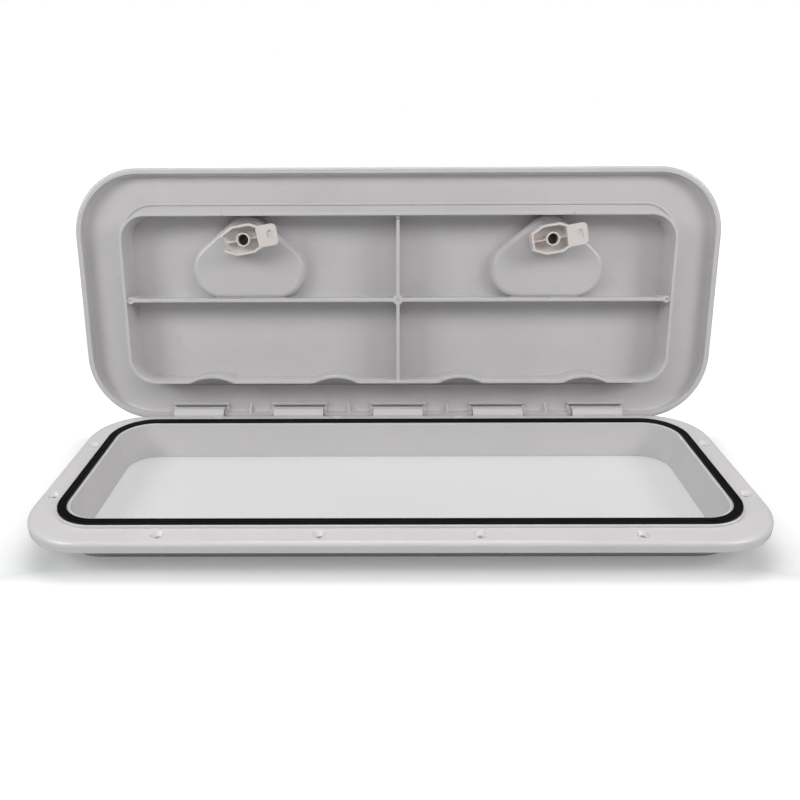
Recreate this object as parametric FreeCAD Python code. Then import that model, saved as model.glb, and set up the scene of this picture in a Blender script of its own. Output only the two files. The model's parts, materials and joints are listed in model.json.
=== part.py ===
"""Marine deck hatch: a hinged lid on a flanged deck frame, closed by two quarter-turn latches.

Frame: millimetres, +Z up, +Y towards the hinges.  The origin is the centre of the hatch
opening, on the deck surface that the underside of the flange seats on.
Everything that the lid carries is drawn with the lid shut, then swung open to its rest pose.
"""
import FreeCAD, Part
import math
import os

from FreeCAD import Vector

os.makedirs("parts", exist_ok=True)

# ---- deck frame -------------------------------------------------------------------------
opening_width = 517.0          # clear opening at the rim
opening_depth = 163.0
opening_corner = 26.5
opening_draft = 2.0            # how much the opening narrows on each side, from rim to bottom
skirt_wall = 4.2
skirt_drop = 23.0              # skirt below the deck surface
rim_wall = 2.5                 # thin wall between the opening and the gasket
outer_lip_wall = 1.5           # wall outside the gasket
coaming_rise = 2.3             # gasket channel walls above the flange
channel_depth = 5.3
coaming_edge_round = 0.8
flange_end_band = 19.7         # flange outside the coaming, at the two ends
flange_front_band = 19.2
flange_rear_band = 15.2        # narrower, because the hinge stands behind it
flange_front_corner = 53.0
flange_rear_corner = 47.0
flange_thickness = 8.6
flange_edge_round = 3.8

# ---- gasket -----------------------------------------------------------------------------
gasket_width = 6.6
gasket_side_gap = 0.1          # between the gasket and each channel wall
gasket_proud = 1.4             # gasket above the channel walls
gasket_bead_count = 3
gasket_bead_width = 1.3
gasket_bead_height = 0.5

# ---- deck screw holes -------------------------------------------------------------------
screw_hole_radius = 2.3
countersink_radius = 5.0
screw_from_coaming = 7.9       # rows along the front and rear
side_screw_from_coaming = 8.7
inner_screw_x = 59.5
outer_screw_x = 178.7
side_screw_y = 44.0

# ---- lid --------------------------------------------------------------------------------
lid_end_overhang = 14.5        # lid beyond the flange, at the two ends
lid_front_overhang = 8.2
lid_corner = 62.0
lid_skin = 2.2
lid_lip_wall = 5.2
lid_lip_drop = 10.0            # lip below the underside of the lid's skin
lid_top_round = 4.5
lid_lip_round = 2.2
seal_gap = 0.3                 # between the sealing ridge and the gasket, shut
seal_ridge_width = 2.0
seal_ridge_height = 1.2

# ---- stiffening ring and ribs under the lid ---------------------------------------------
ring_side_gap = 2.0            # ring wall to the opening, at the sides
ring_front_gap = 2.6           # the front wall swings in on an arc, so it needs more room
ring_rear_gap = 2.0
ring_wall = 2.5
ring_height = 29.0
ring_corner = 25.0
rib_wall = 3.0
rib_shortfall = 1.5            # ribs stop this much short of the ring wall's edge
crossing_boss_radius = 4.5
rib_end_boss_radius = 3.2
boss_dimple_radius = 1.2
boss_dimple_depth = 1.0
rib_notch_width = 8.0          # notch in the cross rib beside the front wall
rib_notch_depth = 5.0
screwdriver_chord = 42.0       # hollows in the rear wall, beside the rear deck screws
screwdriver_sagitta = 5.4
latch_notch_width = 40.0       # relief in the front wall under each latch tongue
latch_notch_depth = 2.0

# ---- hinge ------------------------------------------------------------------------------
hinge_back_gap = 7.1           # hinge axis behind the flange
hinge_drop = 2.0               # hinge axis below the top of the flange
hinge_to_lid_edge = 4.2        # hinge axis to the rear face of the lid
knuckle_radius = 3.6
knuckle_count = 5
knuckle_length = 49.0
knuckle_pitch = 98.5
knuckle_leaf = 5.0             # how far the knuckle's leaf reaches onto the flange
knuckle_foot = 0.5             # the leaf starts to rise this much short of the flange's rear edge
knuckle_crest_front = 4.0      # flat crest of the leaf, in front of the hinge axis
knuckle_crest_rear = 1.5
knuckle_crest_gap = 0.5        # crest below the lid's skin, shut
knuckle_side_gap = 0.5
cheek_thickness = 2.6
cheek_reach = 8.0              # how far the cheeks and gussets reach under the lid
pocket_wall = 2.0              # wall on the lid in front of each knuckle
pocket_wall_height = 3.4
pin_radius = 1.5
pin_running_gap = 0.06
pin_press_gap = 0.01
pin_length = 17.0
open_angle = 101.0

# ---- quarter-turn latches ---------------------------------------------------------------
latch_x = 141.3
latch_from_ring = 23.7         # latch axis from the front of the ring wall
well_depth = 12.0
well_wall = 2.4
well_round = 5.0               # round of the well's underside
well_apex_radius = 22.0
well_base_radius = 26.8
well_base_spread = 26.4
well_base_reach = 28.0
bearing_radius = 9.0
bearing_length = 6.0
spindle_radius = 5.0
spindle_running_gap = 0.08
square_size = 7.0
square_gap = 0.05
square_engagement = 3.6
thread_radius = 2.1
thread_depth = 14.0
axial_gap = 0.1
thrust_washer_thickness = 1.0
thrust_washer_radius = 8.6
oring_section_radius = 0.9
oring_squeeze = 0.02
handle_base_radius = 10.0
handle_base_height = 2.6
handle_reach = 38.0
handle_pivot_radius = 8.0
handle_tip_radius = 6.5
handle_grip_height = 4.0
handle_grip_round = 1.2
handle_flush_gap = 0.5
handle_to_tongue_angle = 135.0
cam_half_width = 13.3          # across the flats of the cam's body
cam_flat_reach = 7.8           # half the length of each flat
cam_shoulder_reach = 15.1      # where the body meets the tongue
cam_wall = 2.0
cam_floor = 2.4
cam_tail_reach = 19.2
cam_tail_width = 15.6
cam_hub_radius = 6.2
cam_bore_radius = 4.9
cam_web = 1.4                  # thickness that the screw clamps
cam_rib_wall = 1.4
cam_rib_drop = 3.0             # ribs stop this much short of the cam's face
tongue_reach = 31.8
tongue_width = 19.4
tongue_thickness = 3.4
tongue_corner = 4.5
tongue_clearance = 0.4         # tongue below the ring wall's edge
tongue_dimple_radius = 2.4
tongue_dimple_length = 8.4
tongue_dimple_depth = 1.2
tongue_dimple_reach = 25.0
screw_washer_radius = 4.6
screw_washer_thickness = 0.8
screw_shank_radius = 2.0
screw_head_radius = 3.8
screw_head_height = 2.6
screw_head_round = 1.0
screw_length = 10.0
drive_radius = 1.3
drive_depth = 1.5
latch_rest_turn = 10.0         # how far the latches are turned from fully open at rest
slot_clearance = 0.6           # strike slot above, below and inside the tongue's way
slot_lead = 30.0               # strike slot from the latch axis, on the side it turns in from
slot_tail = 14.0

# ---- heights and places that follow from the sizes above --------------------------------
coaming_wall = rim_wall + gasket_width + 2 * gasket_side_gap + outer_lip_wall
coaming_width = opening_width + 2 * coaming_wall
coaming_depth = opening_depth + 2 * coaming_wall
flange_width = coaming_width + 2 * flange_end_band
flange_front = -coaming_depth / 2 - flange_front_band
flange_rear = coaming_depth / 2 + flange_rear_band
flange_top = flange_thickness
coaming_top = flange_top + coaming_rise
channel_floor = coaming_top - channel_depth
channel_width = gasket_width + 2 * gasket_side_gap
gasket_top = coaming_top + gasket_proud
hinge_y = flange_rear + hinge_back_gap
hinge_z = flange_top - hinge_drop
lid_rear = hinge_y + hinge_to_lid_edge
lid_front = flange_front - lid_front_overhang
lid_width = flange_width + 2 * lid_end_overhang
lid_depth = lid_rear - lid_front
lid_middle = (lid_rear + lid_front) / 2
lid_under = gasket_top + seal_gap + seal_ridge_height
lid_top = lid_under + lid_skin
lip_edge = lid_under - lid_lip_drop
ring_edge = lid_under - ring_height
ring_front = -opening_depth / 2 + ring_front_gap
ring_rear = opening_depth / 2 - ring_rear_gap
ring_width = opening_width - 2 * ring_side_gap
rib_edge = ring_edge + rib_shortfall
latch_y = ring_front + latch_from_ring
well_floor = lid_top - well_depth
well_under = well_floor - well_wall
bearing_end = well_under - bearing_length
cam_top = bearing_end - thrust_washer_thickness - 2 * axial_gap
tongue_top = ring_edge - tongue_clearance
cam_face = tongue_top - tongue_thickness
clamp_top = cam_top - square_engagement
clamp_bottom = clamp_top - cam_web
pivot = Vector(0, hinge_y, hinge_z)
knuckle_middles = [(i - (knuckle_count - 1) / 2) * knuckle_pitch for i in range(knuckle_count)]
screw_rows = [-outer_screw_x, -inner_screw_x, inner_screw_x, outer_screw_x]
screw_row_y = coaming_depth / 2 + screw_from_coaming
side_screw_x = coaming_width / 2 + side_screw_from_coaming
knuckle_crest = lid_under - knuckle_crest_gap


# ---- drawing helpers --------------------------------------------------------------------
def rounded_outline(width, depth, front_corner, z, middle_y=0.0, rear_corner=None):
    """A closed rounded rectangle, centred on x = 0."""
    reach_x = width / 2
    reach_y = depth / 2
    rear_corner = rear_corner or front_corner
    edges = []
    corners = [(1, 1, 0, rear_corner), (-1, 1, 90, rear_corner),
               (-1, -1, 180, front_corner), (1, -1, 270, front_corner)]
    ends = []
    for side_x, side_y, start, corner in corners:
        centre = Vector(side_x * (reach_x - corner), middle_y + side_y * (reach_y - corner), z)
        edges.append(Part.makeCircle(corner, centre, Vector(0, 0, 1), start, start + 90))
        points = [centre + Vector(math.cos(math.radians(a)), math.sin(math.radians(a)), 0) * corner
                  for a in (start, start + 90)]
        ends.append(points)
    for i in range(4):
        edges.append(Part.makeLine(ends[i][1], ends[(i + 1) % 4][0]))
    return Part.Wire(Part.__sortEdges__(edges))


def rounded_block(width, depth, corner, bottom, top, middle_y=0.0, rear_corner=None):
    outline = rounded_outline(width, depth, corner, bottom, middle_y, rear_corner)
    return Part.Face(outline).extrude(Vector(0, 0, top - bottom))


def drafted_block(width, depth, corner, bottom, top, draft):
    """A rounded block that is narrower at the bottom by the draft on every side."""
    upper = rounded_outline(width, depth, corner, top)
    lower = rounded_outline(width - 2 * draft, depth - 2 * draft, corner - draft, bottom)
    return Part.makeLoft([lower, upper], True, True)


def rounded_ring(width, depth, corner, wall, bottom, top, middle_y=0.0):
    """A ring whose outer size is given, with the wall inside it."""
    outer = rounded_block(width, depth, corner, bottom, top, middle_y)
    inner = rounded_block(width - 2 * wall, depth - 2 * wall, corner - wall, bottom, top, middle_y)
    return outer.cut(inner)


def box(x0, x1, y0, y1, z0, z1):
    return Part.makeBox(x1 - x0, y1 - y0, z1 - z0, Vector(x0, y0, z0))


def post(radius, x, y, z0, z1):
    return Part.makeCylinder(radius, z1 - z0, Vector(x, y, z0))


def rod(radius, x0, x1):
    """A bar along the hinge axis."""
    return Part.makeCylinder(radius, x1 - x0, Vector(x0, hinge_y, hinge_z), Vector(1, 0, 0))


def plate_yz(points, x0, x1):
    """A plate whose outline is given in the YZ plane."""
    corners = [Vector(x0, y, z) for y, z in points]
    return Part.Face(Part.makePolygon(corners + corners[:1])).extrude(Vector(x1 - x0, 0, 0))


def prism(points, z0, z1):
    corners = [Vector(x, y, z0) for x, y in points]
    return Part.Face(Part.makePolygon(corners + corners[:1])).extrude(Vector(0, 0, z1 - z0))


def belt(circle_a, circle_b, z0, z1):
    """Two discs and everything between their outer tangents; a circle is x, y, radius."""
    (xa, ya, ra), (xb, yb, rb) = circle_a, circle_b
    heading = math.atan2(yb - ya, xb - xa)
    spread = math.acos((ra - rb) / math.hypot(xb - xa, yb - ya))
    corners = []
    for x, y, radius, side in ((xa, ya, ra, 1), (xb, yb, rb, 1), (xb, yb, rb, -1), (xa, ya, ra, -1)):
        angle = heading + side * spread
        corners.append((x + radius * math.cos(angle), y + radius * math.sin(angle)))
    discs = [post(ra, xa, ya, z0, z1), post(rb, xb, yb, z0, z1)]
    return prism(corners, z0, z1).multiFuse(discs)


def edges_at(shape, z):
    """Edges that lie flat at a height."""
    found = []
    for edge in shape.Edges:
        bounds = edge.BoundBox
        if abs(bounds.ZMin - z) < 1e-4 and abs(bounds.ZMax - z) < 1e-4:
            found.append(edge)
    return found


def swing_open(shape):
    """Turns a piece that the lid carries from shut to its open rest pose."""
    opened = shape.copy()
    opened.rotate(pivot, Vector(1, 0, 0), -open_angle)
    return opened


# ---- deck frame -------------------------------------------------------------------------
def make_frame():
    flange = rounded_block(flange_width, flange_rear - flange_front, flange_front_corner, 0, flange_top,
                           (flange_rear + flange_front) / 2, flange_rear_corner)
    flange = flange.makeFillet(flange_edge_round, edges_at(flange, flange_top))
    coaming = rounded_block(coaming_width, coaming_depth, opening_corner + coaming_wall, 0, coaming_top)
    coaming = coaming.makeFillet(coaming_edge_round, edges_at(coaming, coaming_top))
    skirt = drafted_block(opening_width + 2 * skirt_wall, opening_depth + 2 * skirt_wall,
                          opening_corner + skirt_wall, -skirt_drop, channel_floor, opening_draft)
    frame = flange.multiFuse([coaming, skirt])
    channel_outer = rim_wall + channel_width
    frame = frame.cut(rounded_ring(opening_width + 2 * channel_outer, opening_depth + 2 * channel_outer,
                                   opening_corner + channel_outer, channel_width,
                                   channel_floor, coaming_top))
    frame = frame.cut(drafted_block(opening_width, opening_depth, opening_corner,
                                    -skirt_drop, coaming_top, opening_draft))
    frame = frame.multiFuse(make_knuckles())
    cuts = [rod(pin_radius + pin_running_gap, -flange_width / 2, flange_width / 2)]
    for x, y in deck_screw_places():
        cuts.append(post(screw_hole_radius, x, y, 0, coaming_top))
        cone_height = countersink_radius - screw_hole_radius
        cuts.append(Part.makeCone(screw_hole_radius, countersink_radius, cone_height,
                                  Vector(x, y, flange_top - cone_height)))
    for side in (-1, 1):
        x = side * latch_x
        cuts.append(box(x - slot_tail, x + slot_lead, -opening_depth / 2 - skirt_wall,
                        -opening_depth / 2 + opening_draft + slot_clearance,
                        cam_face - slot_clearance, tongue_top + slot_clearance))
    return frame.cut(cuts).removeSplitter()


def make_knuckles():
    """Barrels on the hinge axis, each on a leaf that rises from the rear of the flange."""
    under = hinge_z - knuckle_radius
    outline = [(flange_rear - knuckle_leaf, under), (flange_rear - knuckle_leaf, flange_top),
               (flange_rear - knuckle_foot, flange_top),
               (hinge_y - knuckle_crest_front, knuckle_crest), (hinge_y + knuckle_crest_rear, knuckle_crest),
               (hinge_y + knuckle_radius, hinge_z), (hinge_y, under)]
    knuckles = []
    for middle in knuckle_middles:
        x0 = middle - knuckle_length / 2
        x1 = middle + knuckle_length / 2
        knuckles.append(rod(knuckle_radius, x0, x1))
        knuckles.append(plate_yz(outline, x0, x1))
    return knuckles


def deck_screw_places():
    places = [(x, side * screw_row_y) for x in screw_rows for side in (-1, 1)]
    return places + [(sx * side_screw_x, sy * side_screw_y) for sx in (-1, 1) for sy in (-1, 1)]


def make_gasket():
    outer = rim_wall + gasket_side_gap + gasket_width
    width = opening_width + 2 * outer
    depth = opening_depth + 2 * outer
    corner = opening_corner + outer
    body_top = gasket_top - gasket_bead_height
    gasket = rounded_ring(width, depth, corner, gasket_width, channel_floor, body_top)
    pitch = (gasket_width - gasket_bead_width) / (gasket_bead_count - 1)
    beads = []
    for i in range(gasket_bead_count):
        inset = i * pitch
        beads.append(rounded_ring(width - 2 * inset, depth - 2 * inset, corner - inset,
                                  gasket_bead_width, body_top, gasket_top))
    return gasket.multiFuse(beads).removeSplitter()


# ---- lid --------------------------------------------------------------------------------
def make_lid_shell():
    shell = rounded_block(lid_width, lid_depth, lid_corner, lip_edge, lid_top, lid_middle)
    shell = shell.makeFillet(lid_top_round, edges_at(shell, lid_top))
    shell = shell.makeFillet(lid_lip_round, edges_at(shell, lip_edge))
    hollow = rounded_block(lid_width - 2 * lid_lip_wall, lid_depth - 2 * lid_lip_wall,
                           lid_corner - lid_lip_wall, lip_edge, lid_under, lid_middle)
    hollow = hollow.makeFillet(lid_top_round - lid_skin, edges_at(hollow, lid_under))
    return shell.cut(hollow)


def make_ring_wall():
    depth = ring_rear - ring_front
    middle = (ring_rear + ring_front) / 2
    outer = rounded_block(ring_width, depth, ring_corner, ring_edge, lid_under, middle)
    inner = rounded_block(ring_width - 2 * ring_wall, depth - 2 * ring_wall, ring_corner - ring_wall,
                          ring_edge, lid_under, middle)
    radius = (screwdriver_chord ** 2 / 4 + screwdriver_sagitta ** 2) / (2 * screwdriver_sagitta)
    hollow_y = ring_rear - screwdriver_sagitta + radius
    outer = outer.cut([post(radius, x, hollow_y, ring_edge, lid_under) for x in screw_rows])
    inner = inner.cut([post(radius + ring_wall, x, hollow_y, ring_edge, lid_under) for x in screw_rows])
    reliefs = [box(x - latch_notch_width / 2, x + latch_notch_width / 2, ring_front, ring_front + ring_wall,
                   ring_edge, ring_edge + latch_notch_depth) for x in (-latch_x, latch_x)]
    return outer.cut(inner).cut(reliefs)


def make_ribs():
    """The long rib, the cross rib with its notch, and the bosses on them."""
    middle_y = (ring_rear + ring_front) / 2
    end_x = ring_width / 2 - ring_wall
    long_rib = box(-end_x, end_x, middle_y - rib_wall / 2, middle_y + rib_wall / 2, rib_edge, lid_under)
    cross_rib = box(-rib_wall / 2, rib_wall / 2, ring_front + ring_wall, ring_rear - ring_wall,
                    rib_edge, lid_under)
    notch_y = ring_front + ring_wall
    notch = plate_yz([(notch_y, rib_edge), (notch_y + rib_notch_width, rib_edge),
                      (notch_y + rib_notch_width / 2, rib_edge + rib_notch_depth)], -rib_wall, rib_wall)
    pieces = [long_rib, cross_rib.cut(notch)]
    pieces.append(post(crossing_boss_radius, 0, middle_y, rib_edge, lid_under))
    dimples = [post(boss_dimple_radius, 0, middle_y, rib_edge, rib_edge + boss_dimple_depth)]
    boss_x = end_x - rib_end_boss_radius
    for side in (-1, 1):
        pieces.append(post(rib_end_boss_radius, side * boss_x, middle_y, rib_edge, lid_under))
        dimples.append(post(boss_dimple_radius, side * boss_x, middle_y,
                            rib_edge, rib_edge + boss_dimple_depth))
    return pieces, dimples


def hinge_cheek(x0, x1):
    """A lug that holds a hinge pin, with a web to the lid's skin and lip."""
    shoulder = knuckle_radius * math.sqrt(0.5)
    lip_middle = lid_rear - lid_lip_wall / 2
    web = plate_yz([(hinge_y - cheek_reach, lid_under), (hinge_y - shoulder, hinge_z + shoulder),
                    (hinge_y, hinge_z), (lip_middle, hinge_z), (lip_middle, lid_under)], x0, x1)
    return web.fuse(rod(knuckle_radius, x0, x1))


def hinge_gusset(x0, x1):
    lip_face = lid_rear - lid_lip_wall
    return plate_yz([(lip_face - cheek_reach, lid_under), (lip_face, lip_edge + lid_lip_round),
                     (lip_face, lid_under)], x0, x1)


def cheek_spans():
    """Where each cheek starts and ends along the hinge axis."""
    spans = []
    for middle in knuckle_middles:
        for side in (-1, 1):
            near = middle + side * (knuckle_length / 2 + knuckle_side_gap)
            far = near + side * cheek_thickness
            spans.append((min(near, far), max(near, far)))
    return spans


def make_hinge_cheeks():
    cheeks = [hinge_cheek(x0, x1) for x0, x1 in cheek_spans()]
    wall_rear = hinge_y - cheek_reach
    for middle in knuckle_middles:
        reach = knuckle_length / 2 + knuckle_side_gap + cheek_thickness
        cheeks.append(box(middle - reach, middle + reach, wall_rear - pocket_wall, wall_rear,
                          lid_under - pocket_wall_height, lid_under))
    for left, right in zip(knuckle_middles, knuckle_middles[1:]):
        middle = (left + right) / 2
        cheeks.append(hinge_gusset(middle - cheek_thickness / 2, middle + cheek_thickness / 2))
    return cheeks


def well_solid(middle_x, shrink, bottom, top):
    """The three-cornered finger well, drawn smaller by shrink on every side, its bottom edge rounded."""
    apex = (middle_x, latch_y, well_apex_radius - shrink)
    base_y = latch_y + well_base_reach
    left = (middle_x - well_base_spread, base_y, well_base_radius - shrink)
    right = (middle_x + well_base_spread, base_y, well_base_radius - shrink)
    sides = [belt(apex, left, bottom, top), belt(apex, right, bottom, top), belt(left, right, bottom, top)]
    middle = prism([circle[:2] for circle in (apex, right, left)], bottom, top)
    well = sides[0].multiFuse(sides[1:] + [middle]).removeSplitter()
    return well.makeFillet(well_round - shrink, edges_at(well, bottom))


def make_lid():
    ribs, dimples = make_ribs()
    additions = [make_ring_wall()] + ribs + make_hinge_cheeks()
    ridge_outer = rim_wall + channel_width / 2 + seal_ridge_width / 2
    additions.append(rounded_ring(opening_width + 2 * ridge_outer, opening_depth + 2 * ridge_outer,
                                  opening_corner + ridge_outer, seal_ridge_width,
                                  lid_under - seal_ridge_height, lid_under))
    cuts = list(dimples)
    for side in (-1, 1):
        well_x = side * latch_x
        additions.append(well_solid(well_x, 0, well_under, lid_under))
        additions.append(post(bearing_radius, well_x, latch_y, bearing_end, well_under))
        cuts.append(well_solid(well_x, well_wall, well_floor, lid_top))
        cuts.append(post(spindle_radius + spindle_running_gap, well_x, latch_y, bearing_end, lid_top))
    for middle in knuckle_middles:
        reach = knuckle_length / 2 + knuckle_side_gap
        cuts.append(box(middle - reach, middle + reach, hinge_y - cheek_reach, lid_rear,
                        lip_edge, lid_under))
    cuts += [rod(pin_radius + pin_press_gap, x0, x1) for x0, x1 in cheek_spans()]
    lid = make_lid_shell().multiFuse(additions).cut(cuts)
    return lid.removeSplitter()


def make_hinge_pins():
    """One stub pin at each end of every knuckle, pressed into its cheek from outside."""
    pins = []
    for middle in knuckle_middles:
        for side in (-1, 1):
            outer = middle + side * (knuckle_length / 2 + knuckle_side_gap + cheek_thickness)
            inner = outer - side * pin_length
            pins.append(rod(pin_radius, min(outer, inner), max(outer, inner)))
    return pins


# ---- latches, drawn at the origin of the latch axis with the tongue along +X -------------
def make_handle():
    base_bottom = well_floor + axial_gap
    base_top = base_bottom + handle_base_height
    grip_top = lid_top - handle_flush_gap
    base = post(handle_base_radius, 0, 0, base_bottom, base_top)
    stem = post(handle_pivot_radius, 0, 0, base_top, grip_top)
    angle = math.radians(handle_to_tongue_angle)
    tip = (handle_reach * math.cos(angle), handle_reach * math.sin(angle), handle_tip_radius)
    grip = belt((0, 0, handle_pivot_radius), tip, grip_top - handle_grip_height, grip_top)
    grip = grip.makeFillet(handle_grip_round, edges_at(grip, grip_top))
    spindle = post(spindle_radius, 0, 0, cam_top, base_bottom)
    square = box(-square_size / 2, square_size / 2, -square_size / 2, square_size / 2,
                 clamp_top + axial_gap, cam_top)
    handle = base.multiFuse([stem, grip, spindle, square])
    thread = post(thread_radius, 0, 0, clamp_top, clamp_top + thread_depth)
    groove_z = (well_under + bearing_end) / 2
    groove = post(spindle_radius, 0, 0, groove_z - oring_section_radius, groove_z + oring_section_radius)
    groove = groove.cut(post(oring_inner_radius(), 0, 0, groove_z - oring_section_radius,
                             groove_z + oring_section_radius))
    return handle.cut([thread, groove]).removeSplitter()


def oring_inner_radius():
    return spindle_radius + spindle_running_gap - oring_squeeze - 2 * oring_section_radius


def make_oring():
    groove_z = (well_under + bearing_end) / 2
    return Part.makeTorus(oring_inner_radius() + oring_section_radius, oring_section_radius,
                          Vector(0, 0, groove_z))


def make_thrust_washer():
    top = bearing_end - axial_gap
    washer = post(thrust_washer_radius, 0, 0, top - thrust_washer_thickness, top)
    return washer.cut(post(spindle_radius + spindle_running_gap, 0, 0, top - thrust_washer_thickness, top))


def cam_outline(shrink, z0, z1):
    """The cam's flat-sided body, tapering to its tail, drawn smaller by shrink on every side."""
    tail = cam_tail_width / 2
    shoulder = tongue_width / 2
    upper = [(-cam_tail_reach, tail), (-cam_flat_reach, cam_half_width),
             (cam_flat_reach, cam_half_width), (cam_shoulder_reach, shoulder)]
    lower = [(x, -y) for x, y in reversed(upper)]
    corners = [Vector(x, y, z0) for x, y in upper + lower]
    face = Part.Face(Part.makePolygon(corners + corners[:1]))
    if shrink:
        face = face.makeOffset2D(-shrink)
    return face.extrude(Vector(0, 0, z1 - z0))


def make_cam(open_tail):
    pocket = cam_outline(cam_wall, cam_face, cam_top - cam_floor)
    if open_tail:
        mouth = cam_tail_width / 2 - cam_wall
        pocket = pocket.fuse(box(-cam_tail_reach, -cam_tail_reach + cam_wall, -mouth, mouth,
                                 cam_face, cam_top - cam_floor))
    half = tongue_width / 2
    tongue = box(0, tongue_reach, -half, half, cam_face, tongue_top)
    tip_edges = [edge for edge in tongue.Edges
                 if edge.BoundBox.XMin > tongue_reach - 1e-4 and edge.BoundBox.ZLength > tongue_thickness / 2]
    tongue = tongue.makeFillet(tongue_corner, tip_edges)
    body = cam_outline(0, cam_face, cam_top).fuse(tongue).cut(pocket)
    hub = post(cam_hub_radius, 0, 0, cam_face, cam_top)
    rib = box(-cam_tail_reach + cam_wall, cam_shoulder_reach - cam_wall / 2,
              -cam_rib_wall / 2, cam_rib_wall / 2, cam_face + cam_rib_drop, cam_top - cam_floor / 2)
    cam = body.multiFuse([hub, rib])
    socket = square_size / 2 + square_gap
    cuts = [box(-socket, socket, -socket, socket, clamp_top, cam_top),
            post(screw_shank_radius + spindle_running_gap, 0, 0, clamp_bottom, clamp_top),
            post(cam_bore_radius, 0, 0, cam_face, clamp_bottom), tongue_dimple()]
    return cam.cut(cuts).removeSplitter()


def tongue_dimple():
    """An oval hollow in the tongue's face, across its length."""
    end = tongue_dimple_length / 2 - tongue_dimple_radius
    return belt((tongue_dimple_reach, -end, tongue_dimple_radius),
                (tongue_dimple_reach, end, tongue_dimple_radius), cam_face, cam_face + tongue_dimple_depth)


def make_screw_washer():
    bottom = clamp_bottom - screw_washer_thickness
    washer = post(screw_washer_radius, 0, 0, bottom, clamp_bottom)
    return washer.cut(post(screw_shank_radius + spindle_running_gap, 0, 0, bottom, clamp_bottom))


def make_cam_screw():
    seat = clamp_bottom - screw_washer_thickness
    head = post(screw_head_radius, 0, 0, seat - screw_head_height, seat)
    head = head.makeFillet(screw_head_round, edges_at(head, seat - screw_head_height))
    shank = post(screw_shank_radius, 0, 0, seat, seat + screw_length)
    recess = post(drive_radius, 0, 0, seat - screw_head_height, seat - screw_head_height + drive_depth)
    return head.fuse(shank).cut(recess)


def place_latch(shape, side):
    """Turns a latch piece to its rest angle, puts it on its axis and swings it open with the lid."""
    placed = shape.copy()
    placed.rotate(Vector(0, 0, 0), Vector(0, 0, 1), -latch_rest_turn)
    placed.translate(Vector(side * latch_x, latch_y, 0))
    return swing_open(placed)


def export(name, shape):
    shape.exportStep("parts/" + name + ".step")


export("frame", make_frame())
export("gasket", make_gasket())
export("lid", swing_open(make_lid()))
for number, pin in enumerate(make_hinge_pins(), start=1):
    export("hinge_pin_%d" % number, swing_open(pin))
for side_name, side in (("left", -1), ("right", 1)):
    export("latch_handle_" + side_name, place_latch(make_handle(), side))
    export("spindle_oring_" + side_name, place_latch(make_oring(), side))
    export("thrust_washer_" + side_name, place_latch(make_thrust_washer(), side))
    export("latch_cam_" + side_name, place_latch(make_cam(side < 0), side))
    export("screw_washer_" + side_name, place_latch(make_screw_washer(), side))
    export("cam_screw_" + side_name, place_latch(make_cam_screw(), side))
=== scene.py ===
import json
import math

import bpy
from mathutils import Matrix, Vector


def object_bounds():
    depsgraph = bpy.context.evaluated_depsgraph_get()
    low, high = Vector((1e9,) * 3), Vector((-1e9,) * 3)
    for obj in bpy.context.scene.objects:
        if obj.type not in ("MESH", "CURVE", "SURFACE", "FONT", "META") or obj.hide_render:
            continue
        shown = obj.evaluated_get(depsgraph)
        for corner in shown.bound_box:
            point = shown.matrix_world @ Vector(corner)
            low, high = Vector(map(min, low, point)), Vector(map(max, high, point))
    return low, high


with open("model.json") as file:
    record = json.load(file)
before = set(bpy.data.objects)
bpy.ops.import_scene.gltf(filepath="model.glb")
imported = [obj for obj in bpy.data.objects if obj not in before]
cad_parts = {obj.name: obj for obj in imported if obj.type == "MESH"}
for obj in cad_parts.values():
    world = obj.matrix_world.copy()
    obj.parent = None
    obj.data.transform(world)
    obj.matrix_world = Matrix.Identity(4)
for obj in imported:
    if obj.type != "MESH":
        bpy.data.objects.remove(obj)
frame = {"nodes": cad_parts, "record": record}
cad_low, cad_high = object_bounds()


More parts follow.
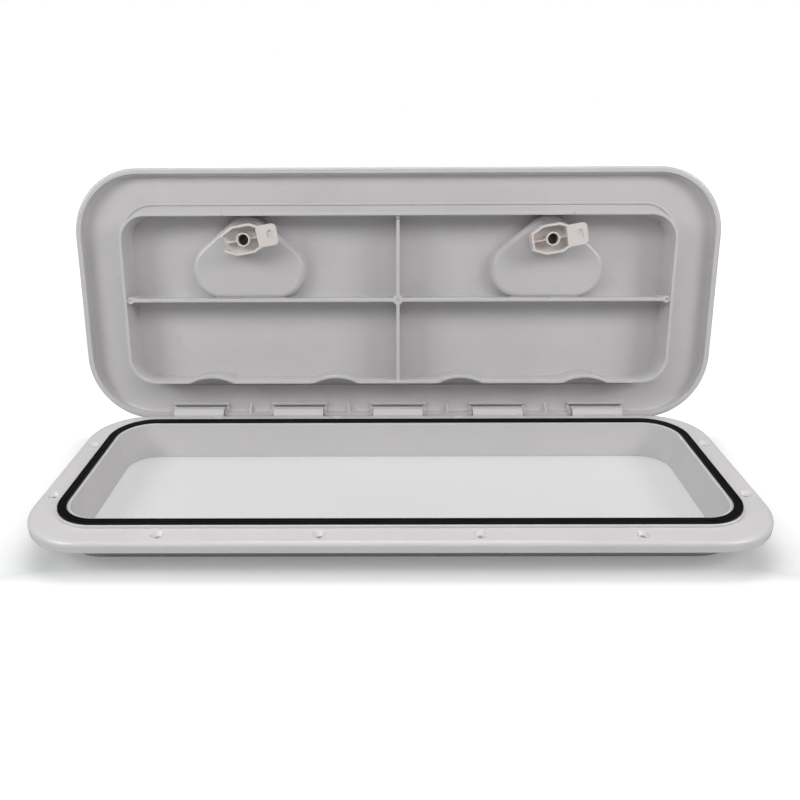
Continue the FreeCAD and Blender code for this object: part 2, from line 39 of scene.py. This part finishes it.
# ---- node helpers -------------------------------------------------------------------------
class Nodes:
    """The node tree of a material or world, built one named step at a time."""

    def __init__(self, owner, output_kind="ShaderNodeOutputMaterial"):
        self.owner = owner
        owner.use_nodes = True
        self.tree = owner.node_tree
        self.tree.nodes.clear()
        self.output = self.tree.nodes.new(output_kind)

    def finish(self, surface):
        """Connects the finished surface, and gives back the material or world."""
        self.put(self.output.inputs["Surface"], surface)
        return self.owner

    def add(self, kind, inputs=None, **settings):
        """A new node with its settings, and its inputs linked or set to a constant."""
        node = self.tree.nodes.new(kind)
        for key, value in settings.items():
            setattr(node, key, value)
        for key, value in (inputs or {}).items():
            self.put(node.inputs[key], value)
        return node

    def put(self, socket, value):
        if isinstance(value, bpy.types.NodeSocket):
            self.tree.links.new(value, socket)
        else:
            socket.default_value = value

    def math(self, operation, a, b=0.0, c=0.0, clamp=False):
        node = self.add("ShaderNodeMath", {0: a, 1: b, 2: c}, operation=operation, use_clamp=clamp)
        return node.outputs[0]

    def dot(self, a, b):
        """How well two directions agree: 1 is the same way, 0 is square to each other."""
        node = self.add("ShaderNodeVectorMath", {0: a, 1: b}, operation="DOT_PRODUCT")
        return node.outputs["Value"]

    def object_coords(self):
        """The piece's own coordinates, in metres."""
        return self.add("ShaderNodeTexCoord").outputs["Object"]

    def noise(self, coords, scale, detail=2.0, roughness=0.5):
        node = self.add("ShaderNodeTexNoise", {"Vector": coords, "Scale": scale, "Detail": detail,
                                               "Roughness": roughness})
        return node.outputs["Fac"]

    def remap(self, value, span, result=(0.0, 1.0)):
        """The value stretched from one span onto another, and held at both ends."""
        node = self.add("ShaderNodeMapRange", {"Value": value, "From Min": span[0], "From Max": span[1],
                                               "To Min": result[0], "To Max": result[1]})
        return node.outputs["Result"]

    def mix(self, factor, a, b):
        """Colour a at factor 0 and colour b at factor 1."""
        node = self.add("ShaderNodeMix", data_type="RGBA")
        self.put(node.inputs["Factor"], factor)
        self.put(node.inputs[6], a)
        self.put(node.inputs[7], b)
        return node.outputs[2]

    def bump(self, distance, height, **normal):
        """The surface's direction after relief of this depth in metres."""
        node = self.add("ShaderNodeBump", {"Strength": 1.0, "Distance": distance, "Height": height,
                                           **normal})
        return node.outputs["Normal"]


def srgb(r, g, b):
    """Linear colour of an sRGB value given as 0 to 255."""
    channels = []
    for value in (r, g, b):
        share = value / 255
        channels.append(share / 12.92 if share <= 0.04045 else ((share + 0.055) / 1.055) ** 2.4)
    return (*channels, 1.0)


def around(value, spread):
    """The span that reaches the spread to both sides of the value."""
    return (value - spread, value + spread)


# ---- materials ----------------------------------------------------------------------------
# Scales are noise cells per metre, and lengths are metres.
solid_ior = 1.5

drift_scale = 9.0  # slow change of colour over a hand's width
drift_share = 0.7  # of the tone; blotches make up the rest
blotch_scale = 60.0
specks_per_grain = 0.35
speck_share = 0.25  # of the relief; the grain makes up the rest
edge_span = (0.999, 0.86)  # agreement of rounded and flat normals: at an edge's rim, at its middle
edge_patchiness = (0.35, 0.75)  # how much of the painted edge highlight the specks let through
# painted highlight: how much lighter an edge's colour is made
edge_highlight_gain = 1.3
edge_polish = 0.08  # roughness lost on a rubbed edge
plastic_gloss_spread = 0.05

mark_scale = 17.0  # cells per metre, with one mark in each
mark_scatter = 0.55
mark_span = (0.060, 0.068)  # a disc's full part and its rim, in cells
mark_facing_span = (0.97, 0.99)
mark_tint = 0.5
mark_relief = 1.6  # in grain heights

rubber_grain_scale = 2600.0
rubber_grain_height = 0.00006
rubber_bloom_scale = 35.0
rubber_gloss_spread = 0.07
rubber_specular = 0.1

steel_line_scale = 900.0
steel_line_height = 0.00002
steel_stain_scale = 160.0
steel_gloss_spread = 0.08


def ejector_marks(n, coords, facing):
    """Faint round marks left by ejector pins, only on faces that look along facing."""
    normal = n.add("ShaderNodeTexCoord").outputs["Normal"]
    on_face = n.remap(n.dot(normal, facing), mark_facing_span)
    split = n.add("ShaderNodeSeparateXYZ", {"Vector": coords})
    flat = n.add("ShaderNodeCombineXYZ", {"X": split.outputs["X"], "Y": split.outputs["Z"]})
    cells = n.add("ShaderNodeTexVoronoi", {"Vector": flat.outputs["Vector"], "Scale": mark_scale,
                                           "Randomness": mark_scatter},
                  feature="F1", voronoi_dimensions="2D")
    disc = n.remap(cells.outputs["Distance"], mark_span, (1.0, 0.0))
    return n.math("MULTIPLY", disc, on_face)


def moulded_plastic(name, colour, shade, roughness, grain_size, grain_height, edge_radius,
                    marks_facing=None):
    """Injection-moulded plastic: fine grain, slow colour drift, and edges that catch the light, with a
    painted highlight that lightens their colour.
    """
    n = Nodes(bpy.data.materials.new(name))
    coords = n.object_coords()
    drift = n.noise(coords, drift_scale, detail=3.0)
    blotch = n.noise(coords, blotch_scale, detail=4.0)
    grain = n.noise(coords, 1 / grain_size, detail=3.0, roughness=0.6)
    speck = n.noise(coords, specks_per_grain / grain_size, detail=2.0)

    tone = n.math("MULTIPLY_ADD", drift, drift_share, n.math("MULTIPLY", blotch, 1 - drift_share))
    base = n.mix(n.remap(tone, (0.35, 0.65)), colour, shade)
    bevel = n.add("ShaderNodeBevel", {"Radius": edge_radius}, samples=6)
    flat_normal = n.add("ShaderNodeNewGeometry").outputs["Normal"]
    edge = n.remap(n.dot(bevel.outputs["Normal"], flat_normal), edge_span)
    # Painted highlight on the edges: their colour is lightened in patches that the specks break up, and
    # the same mask takes a little roughness off, as rubbing does.
    edge_highlight_and_rub = n.math("MULTIPLY", edge, n.remap(speck, (0.3, 0.7), edge_patchiness), clamp=True)
    highlight_colour = tuple(min(1.0, channel * edge_highlight_gain) for channel in colour[:3]) + (1.0,)
    base = n.mix(edge_highlight_and_rub, base, highlight_colour)

    height = n.math("MULTIPLY_ADD", grain, 1 - speck_share, n.math("MULTIPLY", speck, speck_share))
    if marks_facing:
        marks = ejector_marks(n, coords, marks_facing)
        base = n.mix(n.math("MULTIPLY", marks, mark_tint), base, shade)
        height = n.math("ADD", height, n.math("MULTIPLY", marks, mark_relief))
    gloss = n.remap(grain, (0.3, 0.7), around(roughness, plastic_gloss_spread))
    rough = n.math("ADD", gloss, n.math("MULTIPLY", edge_highlight_and_rub, -edge_polish))
    normal = n.bump(grain_height, height, Normal=bevel.outputs["Normal"])
    shader = n.add("ShaderNodeBsdfPrincipled", {"Base Color": base, "Roughness": rough,
                                                "IOR": solid_ior, "Normal": normal})
    return n.finish(shader.outputs["BSDF"])


def rubber(name, colour, shade, roughness):
    """Extruded black rubber: fine grain, faint bloom, a soft sheen."""
    n = Nodes(bpy.data.materials.new(name))
    coords = n.object_coords()
    grain = n.noise(coords, rubber_grain_scale, detail=3.0, roughness=0.6)
    bloom = n.noise(coords, rubber_bloom_scale, detail=4.0)
    base = n.mix(n.remap(bloom, (0.4, 0.7)), colour, shade)
    rough = n.remap(bloom, (0.3, 0.7), around(roughness, rubber_gloss_spread))
    normal = n.bump(rubber_grain_height, grain)
    shader = n.add("ShaderNodeBsdfPrincipled", {"Base Color": base, "Roughness": rough,
                                                "IOR": solid_ior, "Specular IOR Level": rubber_specular,
                                                "Normal": normal})
    return n.finish(shader.outputs["BSDF"])


def steel(name, colour, shade, roughness, lines):
    """Turned stainless steel: fine tool lines and a little staining."""
    n = Nodes(bpy.data.materials.new(name))
    coords = n.object_coords()
    stretched = n.add("ShaderNodeMapping", {"Vector": coords, "Scale": lines})
    brushed = n.noise(stretched.outputs["Vector"], steel_line_scale, detail=3.0)
    stain = n.noise(coords, steel_stain_scale, detail=4.0)
    base = n.mix(n.remap(stain, (0.4, 0.65)), colour, shade)
    rough = n.remap(brushed, (0.3, 0.7), around(roughness, steel_gloss_spread))
    normal = n.bump(steel_line_height, brushed)
    shader = n.add("ShaderNodeBsdfPrincipled", {"Base Color": base, "Metallic": 1.0,
                                                "Roughness": rough, "Normal": normal})
    return n.finish(shader.outputs["BSDF"])


hinge = frame["record"]["behaviour"]["joints"][0]
opened = math.radians(hinge["range_deg"][1])
underside = (0.0, -math.sin(opened), -math.cos(opened))  # where the open lid's inside faces

plastics = {
    "frame_plastic": {"colour": srgb(223, 221, 221), "shade": srgb(218, 216, 216),
                      "roughness": 0.15, "grain_size": 0.0012, "grain_height": 0.000015,
                      "edge_radius": 0.0009},
    "lid_plastic": {"colour": srgb(216, 214, 214), "shade": srgb(210, 208, 209),
                    "roughness": 0.2, "grain_size": 0.0009, "grain_height": 0.00002,
                    "edge_radius": 0.0009, "marks_facing": underside},
    "handle_plastic": {"colour": srgb(222, 220, 219), "shade": srgb(216, 214, 213),
                       "roughness": 0.3, "grain_size": 0.0009, "grain_height": 0.00004,
                       "edge_radius": 0.0006},
    "cam_plastic": {"colour": srgb(233, 227, 224), "shade": srgb(226, 219, 215),
                    "roughness": 0.34, "grain_size": 0.0007, "grain_height": 0.00005,
                    "edge_radius": 0.0005},
    "washer_nylon": {"colour": srgb(224, 218, 206), "shade": srgb(217, 210, 197),
                     "roughness": 0.4, "grain_size": 0.0006, "grain_height": 0.00004,
                     "edge_radius": 0.0003},
}
rubbers = {
    "gasket_rubber": {"colour": srgb(17, 17, 19), "shade": srgb(25, 25, 28), "roughness": 0.5},
    "oring_rubber": {"colour": srgb(22, 22, 23), "shade": srgb(30, 30, 31), "roughness": 0.4},
}
steels = {
    "pin_steel": {"colour": srgb(196, 194, 190), "shade": srgb(176, 173, 168),
                  "roughness": 0.28, "lines": (0.05, 1.0, 1.0)},
    "screw_steel": {"colour": srgb(84, 78, 74), "shade": srgb(60, 55, 52),
                    "roughness": 0.42, "lines": (1.0, 0.2, 1.0)},
}
looks = {}
for build, table in ((moulded_plastic, plastics), (rubber, rubbers), (steel, steels)):
    for name, values in table.items():
        looks[name] = build(name, **values)
for part in frame["record"]["subparts"]:
    node = frame["nodes"][part["node"]]
    node.data.materials.clear()
    node.data.materials.append(looks[part["material_slot"]])


# ---- floor and background -----------------------------------------------------------------
white = (1.0, 1.0, 1.0, 1.0)
floor_half = 6.0
floor_cloud_scale = 2.0
shade_half_x = 0.27  # the rectangle under the frame where the floor keeps its own shade
shade_half_y = 0.10
glow_under = 0.18  # how far the floor is lifted towards white under the frame
glow_beside = 0.72
ambient_colour = (0.97, 0.985, 1.0, 1.0)
ambient_strength = 0.13


def seen_by_camera(n):
    """1 on rays from the camera, straight or through a clear piece, and 0 on all other rays."""
    rays = n.add("ShaderNodeLightPath")
    return n.math("MAXIMUM", rays.outputs["Is Camera Ray"], rays.outputs["Is Transmission Ray"])


def floor_paint():
    """Pale paint that keeps the object's shadow and runs out to white for the camera."""
    n = Nodes(bpy.data.materials.new("floor_paint"))
    coords = n.object_coords()
    clouds = n.remap(n.noise(coords, floor_cloud_scale, detail=3.0), (0.4, 0.6))
    paint = n.mix(clouds, srgb(198, 199, 200), srgb(194, 195, 196))
    diffuse = n.add("ShaderNodeBsdfDiffuse", {"Color": paint})
    split = n.add("ShaderNodeSeparateXYZ", {"Vector": coords})
    across = n.math("DIVIDE", n.math("ABSOLUTE", split.outputs["X"]), shade_half_x)
    along = n.math("DIVIDE", n.math("ABSOLUTE", split.outputs["Y"]), shade_half_y)
    beside = n.remap(n.math("MAXIMUM", across, along), (1.0, 1.3), (glow_under, glow_beside))
    distance = n.add("ShaderNodeVectorMath", {0: coords}, operation="LENGTH").outputs["Value"]
    away = n.remap(distance, (0.42, 0.8), (glow_under, 1.0))
    strength = n.math("MULTIPLY", seen_by_camera(n), n.math("MAXIMUM", beside, away))
    lift = n.add("ShaderNodeEmission", {"Color": white, "Strength": strength})
    both = n.add("ShaderNodeAddShader", {0: diffuse.outputs["BSDF"], 1: lift.outputs["Emission"]})
    return n.finish(both.outputs["Shader"])


def studio_world():
    """White behind the object, and a faint cool light from all sides on the object."""
    n = Nodes(bpy.data.worlds.new("studio"), "ShaderNodeOutputWorld")
    ambient = n.add("ShaderNodeBackground", {"Color": ambient_colour, "Strength": ambient_strength})
    backdrop = n.add("ShaderNodeBackground", {"Color": white, "Strength": 1.0})
    choose = n.add("ShaderNodeMixShader", {0: seen_by_camera(n), 1: ambient.outputs[0],
                                           2: backdrop.outputs[0]})
    return n.finish(choose.outputs[0])


corners = []
for x, y in ((-floor_half, -floor_half), (floor_half, -floor_half), (floor_half, floor_half),
             (-floor_half, floor_half)):
    corners.append((x, y, cad_low.z))
floor_mesh = bpy.data.meshes.new("floor")
floor_mesh.from_pydata(corners, [], [(0, 1, 2, 3)])
floor = bpy.data.objects.new("floor", floor_mesh)
bpy.context.scene.collection.objects.link(floor)
floor.data.materials.append(floor_paint())
bpy.context.scene.world = studio_world()


# ---- lights -------------------------------------------------------------------------------
warm = (1.0, 0.99, 0.985)
cool = (0.99, 0.995, 1.0)


def softbox(name, place, aim, size, watts, colour):
    """A rectangular lamp at a place, turned towards its aim."""
    data = bpy.data.lights.new(name, "AREA")
    data.shape = "RECTANGLE"
    data.size, data.size_y = size
    data.energy = watts
    data.color = colour
    lamp = bpy.data.objects.new(name, data)
    bpy.context.scene.collection.objects.link(lamp)
    lamp.location = place
    lamp.rotation_euler = (Vector(aim) - Vector(place)).to_track_quat("-Z", "Y").to_euler()


softbox("top_light", (0.0, 0.3, 1.5), (0.0, 0.0, 0.0), (1.0, 0.6), 8.8, warm)
softbox("front_top", (0.0, -1.2, 1.35), (0.0, 0.1, 0.1), (1.9, 0.9), 7.8, warm)
softbox("left_light", (-0.95, -0.5, 0.72), (0.0, 0.0, 0.05), (0.5, 0.45), 4.9, cool)
softbox("right_light", (0.95, -0.5, 0.72), (0.0, 0.0, 0.05), (0.5, 0.45), 4.6, warm)


# ---- camera -------------------------------------------------------------------------------
camera_place = Vector((-0.00426, -0.55835, 0.32008))
pitch = math.radians(24.9)
yaw = math.radians(-0.34)
roll = math.radians(-0.27)

ahead = Vector((math.sin(yaw) * math.cos(pitch), math.cos(yaw) * math.cos(pitch), -math.sin(pitch)))
level = Vector((math.cos(yaw), -math.sin(yaw), 0.0))
above = level.cross(ahead)
right = level * math.cos(roll) + above * math.sin(roll)
up = above * math.cos(roll) - level * math.sin(roll)
turned = Matrix((right, up, -ahead)).transposed().to_4x4()

camera_data = bpy.data.cameras.new("camera")
camera_data.sensor_width = 36.0
camera_data.lens = 33.45
camera_data.shift_x = 0.0129
camera_data.shift_y = 0.0156
camera = bpy.data.objects.new("camera", camera_data)
bpy.context.scene.collection.objects.link(camera)
camera.matrix_world = Matrix.Translation(camera_place) @ turned
bpy.context.scene.camera = camera

bpy.context.scene.view_settings.view_transform = "Standard"
